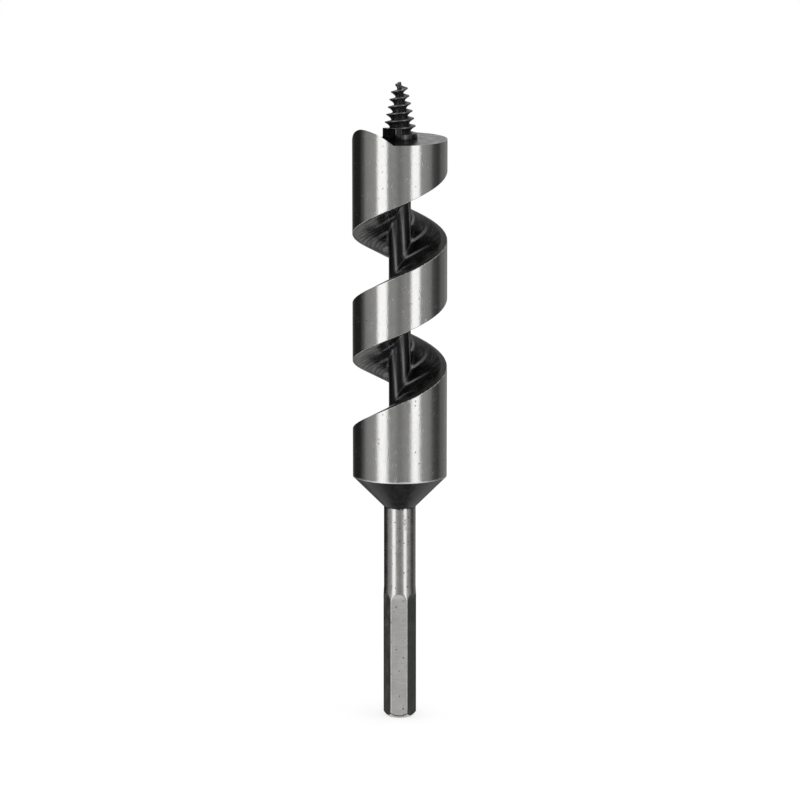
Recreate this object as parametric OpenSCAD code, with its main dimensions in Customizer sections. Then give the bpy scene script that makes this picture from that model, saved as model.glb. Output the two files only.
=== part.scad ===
// Single-twist auger bit with a threaded feed screw, one scoring spur and a hexagonal shank.
// The shank's end face lies on z = 0 and the bit's axis is +Z. The photograph is taken from -Y.

/* [Shank] */
// Width of the hexagon across its flats
hex_flat_w = 7.4; // [6:0.05:7.8]
// Diameter of the bar that the flats are milled into
hex_bar_d = 8.43; // [8.3:0.01:8.5]
// Length of the shank that has full flats
hex_length = 24.3; // [15:0.5:40]
// Length over which the flats run out into the round bar
hex_runout = 10; // [5:0.5:20]
// Turn of the hexagon about the axis, degrees
hex_turn = -3.5; // [-30:0.5:30]
// Diameter of the round neck
neck_d = 8.16; // [7:0.01:10]
// Height where the neck meets the shoulder
neck_top = 55.1; // [45:0.1:70]
// Diameter of the flat at the shank's end
end_face_d = 6.1; // [4:0.1:7]
// Height of the slightly domed bevel around the shank's end
end_bevel_h = 1.1; // [0.5:0.1:3]

/* [Twist] */
// Diameter of the hole that the bit bores
body_d = 24; // [20:0.1:30]
// Height of the black cone between neck and collar
shoulder_h = 7.9; // [5:0.1:12]
// Diameter of the core between the flights
core_d = 5.6; // [4:0.1:8]
// Rise of the flight in one turn
pitch = 32.2; // [28:0.1:40]
// Axial width of the groove at the outside
groove_w = 17.4; // [14:0.1:20]
// Height of the solid collar left under the groove's run-out
collar_rim = 2.36; // [0.8:0.02:4]
// Width of the ground strip along the flight's rim
rim_w = 1.6; // [1:0.1:3]
// Axial drop of that strip
rim_drop = 0.35; // [0.1:0.05:1]
// Axial lean of the flank between strip and fillet
flank_lean = 0.7; // [0.2:0.1:1.5]
// Radius of the fillet between flank and core
fillet_r = 3; // [2:0.1:4]
// Where the groove runs out in the collar, as an angle from +X in degrees
collar_end_angle = 70; // [60:1:100]
// Where the groove starts below the spur, as an angle from +X in degrees
throat_angle = 129; // [120:1:135]

/* [Head] */
// Height of the turned top above the upper groove's middle on the side that faces -X
head_rise = 3.2; // [2:0.1:4.7]
// Depth of the clearance face below the turned top, on the axis
face_drop = 2.7; // [1.8:0.1:4.2]
// Slope of the clearance face, which rises toward +Y, degrees
face_slope = 5.5; // [3:0.5:8]
// Slope of the bevel inside the spur, degrees
spur_slope = 41.7; // [30:0.1:50]
// Direction in which that bevel falls, degrees from +X
spur_direction = 26.9; // [15:0.1:40]
// Height at which the bevel's surface would pass over the turned top, at the rim
spur_lift = 0.84; // [0:0.02:2]
// Radius that rounds the spur's trailing corner
spur_round_r = 5.4; // [4:0.1:7]
// Distance past the trailing direction at which that rounding begins
spur_round_start = 1.7; // [0:0.1:3]
// Direction that the spur's trailing corner faces, degrees from +X
spur_back_direction = 195; // [185:1:205]
// Depth of the block's lower step below the turned top
step_drop = 1.6; // [0.7:0.1:1.7]
// Diameter of the block under the feed screw
block_d = 8.9; // [7:0.1:10]
// Distance from the axis to the block's flat
block_flat = 3.16; // [2.8:0.02:4]
// Direction that the block's flat faces, degrees from +X
block_flat_direction = 211; // [200:1:220]
// Distance from the axis to the edge of the block's lower step
block_step = 1.26; // [0.5:0.02:2]
// Direction that the lower step faces, degrees from +X
block_step_direction = -10; // [-30:1:30]

/* [Feed screw] */
// Height of the bit's tip above the turned top
screw_length = 11.5; // [8:0.1:16]
// Rise of the screw thread in one turn
thread_pitch = 1.87; // [1.5:0.01:2.5]
// Height of one crest above the turned top, on the side that faces +X
thread_rise = 0.55; // [-0.5:0.05:1.5]
// Radius of the thread's crest at the turned top
crest_r = 4.1; // [3:0.05:4.5]
// Radius of the thread's root at the turned top
root_r = 2.6; // [2:0.05:3]
// Radius at the very tip
tip_r = 0.3; // [0.2:0.05:0.5]
// Fall of the crest's radius per unit of height
crest_taper = 0.21; // [0.15:0.01:0.25]
// Slope of the short point at the tip, radius per unit of height
point_taper = 1.2; // [1:0.1:2]
// Slope of the thread's lower flank, radius per unit of height
lower_flank = 1; // [0.7:0.05:1.5]
// Slope of the thread's upper flank, radius per unit of height
upper_flank = 3.5; // [3:0.5:8]

/* [Hidden] */
body_r = body_d / 2;
core_r = core_d / 2;
body_z = neck_top + shoulder_h;
hex_top = hex_length + hex_runout;
bar_full = hex_length + hex_runout * share(0.75);
flat_depth = (hex_bar_d - hex_flat_w) / 2;
end_ball_z = (pow(hex_bar_d / 2, 2) - pow(end_face_d / 2, 2) + pow(end_bevel_h, 2)) / (2 * end_bevel_h);
end_ball_r = sqrt(pow(end_face_d / 2, 2) + pow(end_ball_z, 2));
overrun = body_r / 6;
rim_r = body_r - rim_w;
front = 270;
groove_rim = groove_w / 2;
groove_height = body_z + collar_rim + groove_rim + pitch * (180 - collar_end_angle) / 360;
top_height = groove_height + 2 * pitch + head_rise;
face_height = top_height - face_drop;
step_height = top_height - step_drop;
spur_height = top_height + spur_lift - body_r * tan(spur_slope);
tip_height = top_height + screw_length;
thread_height = top_height + thread_rise;
groove_strip = groove_rim - rim_drop;
groove_fillet = groove_strip - flank_lean;
groove_core = groove_fillet - fillet_r;
reach_r = body_r + overrun;
groove_reach = groove_rim + rim_drop * overrun / rim_w;
collar_top = groove_height + pitch * share(0.2325);
middle_z = groove_height + pitch * share(0.88);
head_z = groove_height + pitch * share(1.5);
throat_z = groove_height + 2 * pitch + pitch * (throat_angle - 180) / 360;
turn_steps = 48;
fillet_steps = 5;
core_steps = 6;
arc_steps = 6;
runout_steps = 5;
thread_steps = 20;
step_z = pitch / turn_steps;
thread_z = thread_pitch / thread_steps;
root_taper = (root_r - tip_r) / (tip_height - top_height);
$fn = 96;

function share(s) = s;

// half of the groove's angle that an axial half width w takes up
function groove_half(w) = 360 * w / pitch;

// the way that the groove's middle faces at height z
function groove_angle(z) = 180 + 360 * (z - groove_height) / pitch;

function polar(r, a) = [r * cos(a), r * sin(a)];

// one side of the groove, from the core outward, as pairs of radius and axial half width
function groove_side() = [
    for (i = [0 : fillet_steps])
        let (a = 90 * i / fillet_steps)
        [core_r + fillet_r * (1 - cos(a)), groove_core + fillet_r * sin(a)],
    [rim_r, groove_strip],
    [reach_r, groove_reach]
];

// the land's outline at one height, with the groove's middle facing +X
function land_outline() =
    let (
        side = groove_side(),
        last = len(side) - 1,
        inner = groove_half(groove_core),
        outer = groove_half(groove_reach)
    )
    concat(
        [for (p = side) polar(p[0], groove_half(p[1]))],
        [for (i = [1 : arc_steps - 1]) polar(reach_r, outer + (360 - 2 * outer) * i / arc_steps)],
        [for (i = [last : -1 : 0]) polar(side[i][0], -groove_half(side[i][1]))],
        [for (i = [1 : core_steps - 1]) polar(core_r, inner * (2 * i / core_steps - 1))]
    );

// the flight with its core between two heights, wider than the bit
module twisted_land(low, high) {
    steps = ceil((high - low) / step_z);
    translate([0, 0, low])
        rotate([0, 0, groove_angle(low)])
            linear_extrude(height = high - low, twist = -360 * (high - low) / pitch, slices = steps)
                polygon(land_outline());
}

// a wedge about the axis from angle a to angle b, which are less than 180 degrees apart
module wedge(a, b, low, high) {
    far = 2 * reach_r;
    translate([0, 0, low])
        linear_extrude(height = high - low)
            polygon([[0, 0], polar(far, a), polar(far, (a + b) / 2), polar(far, b)]);
}

// the round end that the cutter leaves, which touches both flanks of the groove
module groove_end(angle) {
    z = groove_height + pitch * (angle - 180) / 360;
    for (turn = [0, 2])
        translate([0, 0, z + turn * pitch])
            rotate([0, 90, angle])
                rotate_extrude()
                    polygon(concat(
                        [[0, core_r]],
                        [for (p = groove_side()) [p[1] * cos(atan(pitch / (2 * PI * p[0]))), p[0]]],
                        [[0, reach_r]]
                    ));
}

module bar(low, high) {
    translate([0, 0, low]) cylinder(r = body_r, h = high - low);
}

// everything above the clearance face
module above_face() {
    translate([0, 0, face_height])
        rotate([face_slope, 0, 0])
            translate([-body_d, -body_d, 0]) cube([2 * body_d, 2 * body_d, body_d]);
}

// everything above the bevel inside the spur
module above_bevel() {
    translate([0, 0, spur_height])
        rotate([0, 0, spur_direction])
            rotate([0, spur_slope, 0])
                translate([-body_d, -body_d, 0]) cube([2 * body_d, 2 * body_d, body_d]);
}

// the block's higher part, on the side away from its lower step
module high_step(low) {
    rotate([0, 0, block_step_direction])
        translate([block_step - body_d, -body_r, low])
            cube([body_d, body_d, top_height - low]);
}

function crest_at(z) = min(crest_r - crest_taper * (z - top_height), tip_r + point_taper * (tip_height - z));
function root_at(z) = root_r - root_taper * (z - top_height);

// the thread's radius at angle a and height z
function thread_r(a, z) =
    let (
        turns = (z - thread_height) / thread_pitch - a / 360,
        below = (turns - floor(turns)) * thread_pitch,
        above = thread_pitch - below
    )
    max(
        tip_r,
        root_at(z),
        crest_at(z - below) - upper_flank * below,
        crest_at(z + above) - lower_flank * above
    );

module thread(low, high) {
    rows = floor((high - low) / thread_z);
    points = [
        for (k = [0 : rows], i = [0 : thread_steps - 1])
            let (z = k == rows ? high : low + k * thread_z, a = 360 * i / thread_steps)
            [thread_r(a, z) * cos(a), thread_r(a, z) * sin(a), z]
    ];
    sides = [
        for (k = [0 : rows - 1], i = [0 : thread_steps - 1], half = [0, 1])
            let (
                j = (i + 1) % thread_steps,
                a = k * thread_steps + i,
                b = k * thread_steps + j,
                c = a + thread_steps,
                d = b + thread_steps
            )
            half == 0 ? [a, d, b] : [a, c, d]
    ];
    bottom = [for (i = [0 : thread_steps - 1]) i];
    top = [for (i = [thread_steps - 1 : -1 : 0]) rows * thread_steps + i];
    polyhedron(points, concat([bottom], sides, [top]));
}

module feed_screw() {
    color("#33353a")
        difference() {
            thread(step_height, tip_height);
            high_step(step_height);
        }
}

module screw_block() {
    color("#4a4c50")
        intersection() {
            cylinder(d = block_d, h = top_height);
            above_face();
            union() {
                cylinder(r = body_r, h = step_height);
                high_step(face_height);
            }
            rotate([0, 0, block_flat_direction])
                translate([block_flat - 2 * body_d, -body_d, 0]) cube([2 * body_d, 2 * body_d, top_height]);
        }
}

module spur() {
    far = 2 * body_d;
    color("#b4b6b8")
        difference() {
            intersection() {
                bar(head_z, top_height);
                above_face();
                wedge(throat_angle, front, head_z, top_height);
                rotate([0, 0, spur_back_direction])
                    union() {
                        translate([0, spur_round_start, 0]) cube([far, far, top_height]);
                        translate([0, spur_round_start - spur_round_r, 0])
                            cube([far, far, top_height - spur_round_r]);
                        translate([0, spur_round_start, top_height - spur_round_r])
                            rotate([0, 90, 0]) cylinder(r = spur_round_r, h = far);
                    }
            }
            above_bevel();
            groove_end(throat_angle);
        }
}

module cutting_head() {
    color("#aeb0b2")
        difference() {
            intersection() {
                bar(head_z, top_height);
                union() {
                    twisted_land(head_z, top_height);
                    wedge(throat_angle, throat_angle + 360 * share(0.45), throat_z - groove_rim * share(0.9), top_height);
                }
            }
            above_face();
            groove_end(throat_angle);
        }
}

module upper_twist() {
    color("#9fa2a5")
        intersection() {
            bar(middle_z, head_z);
            twisted_land(middle_z, head_z);
        }
}

module lower_twist() {
    color("#a6a9ab")
        intersection() {
            bar(collar_top, middle_z);
            twisted_land(collar_top, middle_z);
        }
}

module collar() {
    color("#b0b2b4")
        difference() {
            intersection() {
                bar(body_z, collar_top);
                union() {
                    twisted_land(body_z, collar_top);
                    wedge(collar_end_angle + 360 * share(0.36), collar_end_angle + 360 * share(0.64),
                        body_z, body_z + pitch * share(0.38));
                    wedge(collar_end_angle + 360 * share(0.61), collar_end_angle + 360,
                        body_z, body_z + pitch * share(0.66));
                }
            }
            groove_end(collar_end_angle);
        }
}

module shoulder() {
    color("#303236")
        translate([0, 0, neck_top]) cylinder(d1 = neck_d, d2 = body_d, h = shoulder_h);
}

module neck() {
    color("#b8babc")
        translate([0, 0, hex_top]) cylinder(d = neck_d, h = neck_top - hex_top);
}

// what the cutter takes off beside one flat, as distance from the axis and height
function flat_cut(side) = concat(
    [[side, -side], [hex_flat_w / 2, -side]],
    [
        for (i = [0 : runout_steps])
            let (s = i / runout_steps)
            [hex_flat_w / 2 + 2 * flat_depth * s * s, hex_length + hex_runout * s]
    ],
    [[side, hex_top]]
);

module hex_shank() {
    side = 2 * hex_bar_d;
    color("#9a9c9f")
        difference() {
            union() {
                intersection() {
                    cylinder(d = hex_bar_d, h = bar_full);
                    translate([0, 0, end_ball_z])
                        union() {
                            sphere(r = end_ball_r);
                            cylinder(r = end_ball_r, h = bar_full);
                        }
                }
                translate([0, 0, bar_full])
                    cylinder(d1 = hex_bar_d, d2 = neck_d, h = hex_top - bar_full);
            }
            for (i = [0 : 5])
                rotate([0, 0, hex_turn + 30 + 60 * i])
                    rotate([90, 0, 0])
                        translate([0, 0, -side / 2]) linear_extrude(height = side) polygon(flat_cut(side));
        }
}

feed_screw();
screw_block();
spur();
cutting_head();
upper_twist();
lower_twist();
collar();
shoulder();
neck();
hex_shank();
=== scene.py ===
import bmesh
import bpy
import math
from mathutils import Matrix, Vector


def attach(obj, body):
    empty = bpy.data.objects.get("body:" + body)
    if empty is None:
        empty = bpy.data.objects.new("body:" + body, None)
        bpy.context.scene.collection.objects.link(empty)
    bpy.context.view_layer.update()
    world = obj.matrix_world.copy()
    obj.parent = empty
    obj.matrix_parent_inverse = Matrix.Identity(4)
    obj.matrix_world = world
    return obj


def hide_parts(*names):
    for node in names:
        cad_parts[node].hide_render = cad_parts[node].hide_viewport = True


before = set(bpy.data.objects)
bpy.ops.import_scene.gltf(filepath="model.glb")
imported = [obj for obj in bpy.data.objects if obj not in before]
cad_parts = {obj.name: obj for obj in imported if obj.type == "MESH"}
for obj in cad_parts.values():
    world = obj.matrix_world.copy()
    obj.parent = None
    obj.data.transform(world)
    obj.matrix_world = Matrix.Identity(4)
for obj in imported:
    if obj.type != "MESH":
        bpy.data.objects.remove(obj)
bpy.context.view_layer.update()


# Hexagonal shank: the end of the steel bar that the chuck grips. Six flats are milled into the
# round bar and run out in a curve at their upper end, and the lower end is turned to a domed
# bevel. Sizes are in millimetres and colours are linear.
FLATS = 6
FLAT_FROM_AXIS = 3.7
BAR_R = 4.215
FLATS_END = 30.6
RUNOUT = 3.2
RUNOUT_RISE = 1.03
HEX_TURN = math.radians(-3.5)
END_FACE_R = 3.05
DOME_R = 5.351
DOME_Z = 4.397
BEVEL_TOP = 1.1
BEVEL_ROWS = 6
RUNOUT_ROWS = 24
HAIR = 0.01
TAPER_START = 31.8
NECK_START = 34.3
NECK_R = 4.08
MILLIMETRE = 0.001
FULL_TURN = 2 * math.pi

FLAT_DEPTH = (0.02, 0.06)
FLATS_FADE = (33.5, 32.5)
SIDE_FACING = (0.44, 0.54)
BEVEL_FADE = (1.7, 1.2)
BURR_START = (0.03, 0.06)
BURR_END = (0.14, 0.22)
RAGGED_TOP = (55.42, 55.52)
SATIN_DARK = (0.50, 0.49, 0.475, 1)
SATIN_LIGHT = (0.64, 0.63, 0.615, 1)
MILLED_LIGHT = (0.84, 0.83, 0.82, 1)
# Greys of painted shade on the flats facing ±X, darker on the +X side.
SIDE_FLAT_SHADE_GREY = (0.5, 0.485, 0.47, 1)
RIGHT_FLAT_SHADE_GREY = (0.25, 0.265, 0.25, 1)
TURNED_LIGHT = (0.95, 0.94, 0.92, 1)
STAIN_GREY = (0.2, 0.195, 0.185, 1)
BURR_SHADOW = (0.05, 0.05, 0.05, 1)
PIT_FLOOR = (0.08, 0.075, 0.07, 1)


def turned(profile, steps=96):
    """A closed solid turned about the bit's axis, from pairs of radius and height."""
    bm = bmesh.new()
    line = [bm.verts.new((r, 0, z)) for r, z in profile]
    edges = [bm.edges.new(pair) for pair in zip(line, line[1:])]
    bmesh.ops.spin(bm, geom=line + edges, cent=(0, 0, 0), axis=(0, 0, 1), angle=FULL_TURN,
        steps=steps, use_merge=True)
    bmesh.ops.remove_doubles(bm, verts=bm.verts, dist=1e-5)
    bmesh.ops.recalc_face_normals(bm, faces=bm.faces)
    return bm


def steel_piece(bm, name, material, crease=35, round_r=None):
    """A finished piece of the bit in metres. Its walls at round_r shade as a true cylinder."""
    bmesh.ops.scale(bm, verts=bm.verts, vec=(MILLIMETRE,) * 3)
    mesh = bpy.data.meshes.new(name)
    bm.to_mesh(mesh)
    bm.free()
    for face in mesh.polygons:
        face.use_smooth = True
    mesh.set_sharp_from_angle(angle=math.radians(crease))
    mesh.materials.append(material)
    if round_r:
        wall_from = (round_r - 0.002) * MILLIMETRE
        steepest = 0.05
        normals = [corner.vector.copy() for corner in mesh.corner_normals]
        for face in mesh.polygons:
            corners = [mesh.vertices[mesh.loops[i].vertex_index].co for i in face.loop_indices]
            on_wall = all(math.hypot(c.x, c.y) > wall_from for c in corners)
            if abs(face.normal.z) < steepest and on_wall:
                for i, c in zip(face.loop_indices, corners):
                    normals[i] = Vector((c.x, c.y, 0)).normalized()
        mesh.normals_split_custom_set(normals)
    piece = bpy.data.objects.new(name, mesh)
    bpy.context.scene.collection.objects.link(piece)
    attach(piece, "root")
    return piece


def linked(tree, socket, term):
    """Gives a socket a number, a colour or another node's output."""
    if isinstance(term, bpy.types.NodeSocket):
        tree.links.new(term, socket)
    else:
        socket.default_value = term


def place(tree, kind, **values):
    """A shader node. A value is a setting of the node, or what a socket gets."""
    node = tree.nodes.new(kind)
    for key, value in values.items():
        if hasattr(node, key):
            setattr(node, key, value)
    for key, value in values.items():
        if not hasattr(node, key):
            linked(tree, node.inputs[key.replace("_", " ")], value)
    return node


def maths(tree, operation, *terms, clamp=False):
    """A number that is worked out from others."""
    node = place(tree, "ShaderNodeMath", operation=operation, use_clamp=clamp)
    for socket, term in zip(node.inputs, terms):
        linked(tree, socket, term)
    return node.outputs[0]


def times(tree, first, second):
    return maths(tree, "MULTIPLY", first, second)


def plus(tree, first, second):
    return maths(tree, "ADD", first, second)


def minus(tree, first, second):
    return maths(tree, "SUBTRACT", first, second)


def scaled(tree, value, factor, offset):
    """The value times the factor, plus the offset."""
    return maths(tree, "MULTIPLY_ADD", value, factor, offset)


def between(tree, share, first, second):
    """A mix of two numbers."""
    return place(tree, "ShaderNodeMapRange", Value=share, To_Min=first, To_Max=second).outputs[0]


def blended(tree, share, first, second):
    """A mix of two colours."""
    node = place(tree, "ShaderNodeMix", data_type="RGBA")
    sockets = (node.inputs[0], node.inputs[6], node.inputs[7])
    for socket, term in zip(sockets, (share, first, second)):
        linked(tree, socket, term)
    return node.outputs[2]


def ranged(tree, value, low, high, first=0.0, second=1.0):
    """first where the value is at low, second where it is at high, and smooth between them."""
    return place(tree, "ShaderNodeMapRange", interpolation_type="SMOOTHSTEP", Value=value,
        From_Min=low, From_Max=high, To_Min=first, To_Max=second).outputs[0]


def crossed(tree, length, start, end):
    """0 where a length on the piece is at start, and 1 where it is at end, in millimetres."""
    return ranged(tree, length, start * MILLIMETRE, end * MILLIMETRE)


def cloud(tree, where, scale, detail=3.0, roughness=0.55):
    """Noise from 0 to 1 with grains of about 1 / scale metres."""
    return place(tree, "ShaderNodeTexNoise", Vector=where, Scale=scale, Detail=detail,
        Roughness=roughness).outputs[0]


def stretched(tree, where, x, y, z):
    """Coordinates that are multiplied along each axis, so that a pattern is drawn out."""
    return place(tree, "ShaderNodeMapping", Vector=where, Scale=(x, y, z)).outputs[0]


def effect_group(name, inputs, outputs):
    """An empty shader node group, with its input node's outputs and its output node's inputs."""
    group = bpy.data.node_groups.new(name, "ShaderNodeTree")
    for label, kind in inputs:
        group.interface.new_socket(label, in_out="INPUT", socket_type="NodeSocket" + kind)
    for label, kind in outputs:
        group.interface.new_socket(label, in_out="OUTPUT", socket_type="NodeSocket" + kind)
    given = group.nodes.new("NodeGroupInput").outputs
    return group, given, group.nodes.new("NodeGroupOutput").inputs


def effect(tree, group, **values):
    """The outputs of a group that is placed in a material."""
    return place(tree, "ShaderNodeGroup", node_tree=group, **values).outputs


def new_finish(name):
    """A metal with its tree, its shader, and its object coordinates in metres."""
    material = bpy.data.materials.new(name)
    material.use_nodes = True
    tree = material.node_tree
    tree.nodes.clear()
    shader = place(tree, "ShaderNodeBsdfPrincipled", Metallic=1.0)
    place(tree, "ShaderNodeOutputMaterial", Surface=shader.outputs[0])
    return material, tree, shader, place(tree, "ShaderNodeTexCoord").outputs["Object"]


def embossed(tree, shader, height, depth):
    """Raises the surface by depth metres where the height is 1."""
    bump = place(tree, "ShaderNodeBump", Strength=1.0, Distance=depth, Height=height)
    tree.links.new(bump.outputs[0], shader.inputs["Normal"])


def about_axis(tree, where):
    """The distance from the bit's axis, and the x, y and z of a point."""
    x, y, z = place(tree, "ShaderNodeSeparateXYZ", Vector=where).outputs
    squares = plus(tree, times(tree, x, x), times(tree, y, y))
    return maths(tree, "SQRT", squares), x, y, z


worn_skin, given, made = effect_group("worn_skin", [("Place", "Vector"), ("Pit Share", "Float")],
    [("Mottle", "Float"), ("Grain", "Float"), ("Pits", "Float"), ("Rubs", "Float")])
spot = given["Place"]
linked(worn_skin, made["Mottle"], cloud(worn_skin, spot, 480, 5, 0.62))
linked(worn_skin, made["Grain"], cloud(worn_skin, spot, 4600, 2.5, 0.6))
wobble = place(worn_skin, "ShaderNodeTexNoise", Vector=spot, Scale=2600, Detail=2).outputs[1]
wandering = place(worn_skin, "ShaderNodeVectorMath", operation="MULTIPLY_ADD")
for socket, term in zip(wandering.inputs, (wobble, (0.4 * MILLIMETRE,) * 3, spot)):
    linked(worn_skin, socket, term)
cells = place(worn_skin, "ShaderNodeTexVoronoi", Vector=wandering.outputs[0], Scale=980)
lot = place(worn_skin, "ShaderNodeSeparateColor", Color=cells.outputs["Color"]).outputs[0]
picked = maths(worn_skin, "LESS_THAN", lot, given["Pit Share"])
hole = ranged(worn_skin, cells.outputs["Distance"], 0.12, 0.3, 1, 0)
linked(worn_skin, made["Pits"], times(worn_skin, picked, hole))
leaning = place(worn_skin, "ShaderNodeMapping", Vector=spot, Rotation=(0.5, 0.4, 0.3),
    Scale=(1, 1, 0.1)).outputs[0]
strands = cloud(worn_skin, leaning, 2100, 1)
from_strand = maths(worn_skin, "ABSOLUTE", minus(worn_skin, strands, 0.5))
thin = ranged(worn_skin, from_strand, 0.003, 0.012, 1, 0)
handled = ranged(worn_skin, cloud(worn_skin, spot, 330, 2), 0.56, 0.68)
linked(worn_skin, made["Rubs"], times(worn_skin, thin, handled))

satin_steel, tree, shader, where = new_finish("satin_shank_steel")
radius, x, _, z = about_axis(tree, where)
skin = effect(tree, worn_skin, Place=where, Pit_Share=0.3)
bar_surface = place(tree, "ShaderNodeMapRange", Value=z,
    From_Min=TAPER_START * MILLIMETRE, From_Max=NECK_START * MILLIMETRE,
    To_Min=BAR_R * MILLIMETRE, To_Max=NECK_R * MILLIMETRE).outputs[0]
milled = crossed(tree, minus(tree, bar_surface, radius), *FLAT_DEPTH)
milled = times(tree, milled, crossed(tree, z, *FLATS_FADE))
# Painted shade: the flats that face ±X are darker, and those on the +X side darker still, at the
# back too.
sideways = maths(tree, "DIVIDE", maths(tree, "ABSOLUTE", x), radius)
shaded_side_flat = times(tree, milled, ranged(tree, sideways, *SIDE_FACING))
shaded_right_flat = times(tree, shaded_side_flat, maths(tree, "GREATER_THAN", x, 0))
above_dome = minus(tree, z, DOME_Z * MILLIMETRE)
dome_squares = plus(tree, times(tree, above_dome, above_dome), times(tree, radius, radius))
under_dome = minus(tree, DOME_R * MILLIMETRE, maths(tree, "SQRT", dome_squares))
at_end = crossed(tree, z, *BEVEL_FADE)
turned_end = times(tree, at_end, crossed(tree, under_dome, *reversed(BURR_START)))
burr = minus(tree, crossed(tree, under_dome, *BURR_START), crossed(tree, under_dome, *BURR_END))
burr = times(tree, at_end, burr)
tool_lines = cloud(tree, stretched(tree, where, 0.05, 0.05, 1), 7000, 1)
patches = times(tree, ranged(tree, cloud(tree, where, 240, 2), 0.57, 0.68),
    ranged(tree, cloud(tree, where, 2600, 3, 0.6), 0.44, 0.6))
ragged_z = scaled(tree, cloud(tree, where, 2200, 3), 1.1 * MILLIMETRE, z)
ragged_top = crossed(tree, ragged_z, *RAGGED_TOP)

milled_share = times(tree, milled, ranged(tree, tool_lines, 0.2, 0.8, 0.5, 1))
tone = blended(tree, skin["Mottle"], SATIN_DARK, SATIN_LIGHT)
tone = blended(tree, milled_share, tone, MILLED_LIGHT)
# Painted shade on the sideways flats, darkest on the +X side.
tone = blended(tree, shaded_side_flat, tone, SIDE_FLAT_SHADE_GREY)
tone = blended(tree, shaded_right_flat, tone, RIGHT_FLAT_SHADE_GREY)
tone = blended(tree, turned_end, tone, TURNED_LIGHT)
tone = blended(tree, times(tree, patches, 0.55), tone, STAIN_GREY)
tone = blended(tree, maths(tree, "MAXIMUM", burr, ragged_top), tone, BURR_SHADOW)
tone = blended(tree, times(tree, skin["Pits"], 0.8), tone, PIT_FLOOR)
linked(tree, shader.inputs["Base Color"], tone)
satin_rough = ranged(tree, skin["Mottle"], 0.3, 0.7, 0.19, 0.28)
rough = plus(tree, satin_rough, times(tree, milled, 0.14))
rough = scaled(tree, plus(tree, skin["Pits"], patches), 0.2, rough)
linked(tree, shader.inputs["Roughness"], rough)
relief = scaled(tree, skin["Pits"], -3, scaled(tree, patches, -2, skin["Grain"]))
embossed(tree, shader, scaled(tree, tool_lines, 1.5, relief), depth=1.6e-6)


def softer(a, b, width=0.03):
    """The smaller of two radii, with the corner between them rounded."""
    return min(a, b) - width * math.log1p(math.exp(-abs(a - b) / width))


levels = [BEVEL_TOP * i / BEVEL_ROWS for i in range(BEVEL_ROWS)]
levels += [BEVEL_TOP + 0.5 * i for i in range(4)] + [4 + 2 * i for i in range(14)]
levels += [FLATS_END + RUNOUT * i / RUNOUT_ROWS for i in range(RUNOUT_ROWS + 1)] + [NECK_START]
wall = [(END_FACE_R, level) for level in levels]
hexagon = turned([(0, 0)] + wall + [(0, NECK_START)], steps=240)
for v in hexagon.verts:
    level, turn = v.co.z, math.atan2(v.co.y, v.co.x)
    if math.hypot(v.co.x, v.co.y) > 1:
        from_flat = (turn - HEX_TURN) % (FULL_TURN / FLATS) - FULL_TURN / (2 * FLATS)
        flat = FLAT_FROM_AXIS + RUNOUT_RISE * (max(0, level - FLATS_END) / RUNOUT) ** 2
        taper = max(0, level - TAPER_START) / (NECK_START - TAPER_START)
        bar = BAR_R - (BAR_R - NECK_R) * taper
        if level < BEVEL_TOP - HAIR:
            bar = math.sqrt(DOME_R ** 2 - (DOME_Z - level) ** 2)
        r = bar if level > NECK_START - HAIR else softer(bar, flat / math.cos(from_flat))
        v.co.x, v.co.y = r * math.cos(turn), r * math.sin(turn)
bmesh.ops.recalc_face_normals(hexagon, faces=hexagon.faces)
shank = steel_piece(hexagon, "hexagonal_shank", satin_steel, crease=32)
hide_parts("hex_shank")


# Round neck: the bar between the flats and the cone. It is the same piece of steel, turned round
# and left with a satin surface.
NECK_TOP = 55.1

neck_profile = [(0, NECK_START), (NECK_R, NECK_START), (NECK_R, NECK_TOP), (0, NECK_TOP)]
neck = steel_piece(turned(neck_profile), "round_neck", satin_steel, round_r=NECK_R)
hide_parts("neck")


# Cone between neck and collar: the shoulder of the same steel, turned to 45 degrees. It keeps
# its black oxide, which is rubbed in places.
BODY_R = 12.0
BODY_START = 63.0
OXIDE_DARK = (0.034, 0.0345, 0.036, 1)
OXIDE_LIGHT = (0.058, 0.058, 0.057, 1)
OXIDE_SPECK = (0.2, 0.2, 0.19, 1)
OXIDE_RUB = (0.4, 0.39, 0.37, 1)
OXIDE_PIT = (0.015, 0.015, 0.015, 1)

oxide_coat, given, made = effect_group("oxide_coat",
    [("Place", "Vector"), ("Pits", "Float"), ("Rubs", "Float")],
    [("Tone", "Color"), ("Roughness", "Float")])
drift = cloud(oxide_coat, given["Place"], 700, 6, 0.65)
specks = ranged(oxide_coat, cloud(oxide_coat, given["Place"], 5200, 2, 0.6), 0.6, 0.74)
tone = blended(oxide_coat, ranged(oxide_coat, drift, 0.32, 0.68), OXIDE_DARK, OXIDE_LIGHT)
tone = blended(oxide_coat, times(oxide_coat, specks, 0.35), tone, OXIDE_SPECK)
tone = blended(oxide_coat, times(oxide_coat, given["Rubs"], 0.7), tone, OXIDE_RUB)
tone = blended(oxide_coat, times(oxide_coat, given["Pits"], 0.8), tone, OXIDE_PIT)
linked(oxide_coat, made["Tone"], tone)
linked(oxide_coat, made["Roughness"], ranged(oxide_coat, drift, 0.3, 0.7, 0.15, 0.28))

black_oxide, tree, shader, where = new_finish("black_oxide")
shader.inputs["Metallic"].default_value = 0.85
skin = effect(tree, worn_skin, Place=where, Pit_Share=0.1)
coat = effect(tree, oxide_coat, Place=where, Pits=skin["Pits"], Rubs=skin["Rubs"])
linked(tree, shader.inputs["Base Color"], coat["Tone"])
linked(tree, shader.inputs["Roughness"], coat["Roughness"])
embossed(tree, shader, scaled(tree, skin["Pits"], -3, skin["Grain"]), depth=3e-6)

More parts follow.
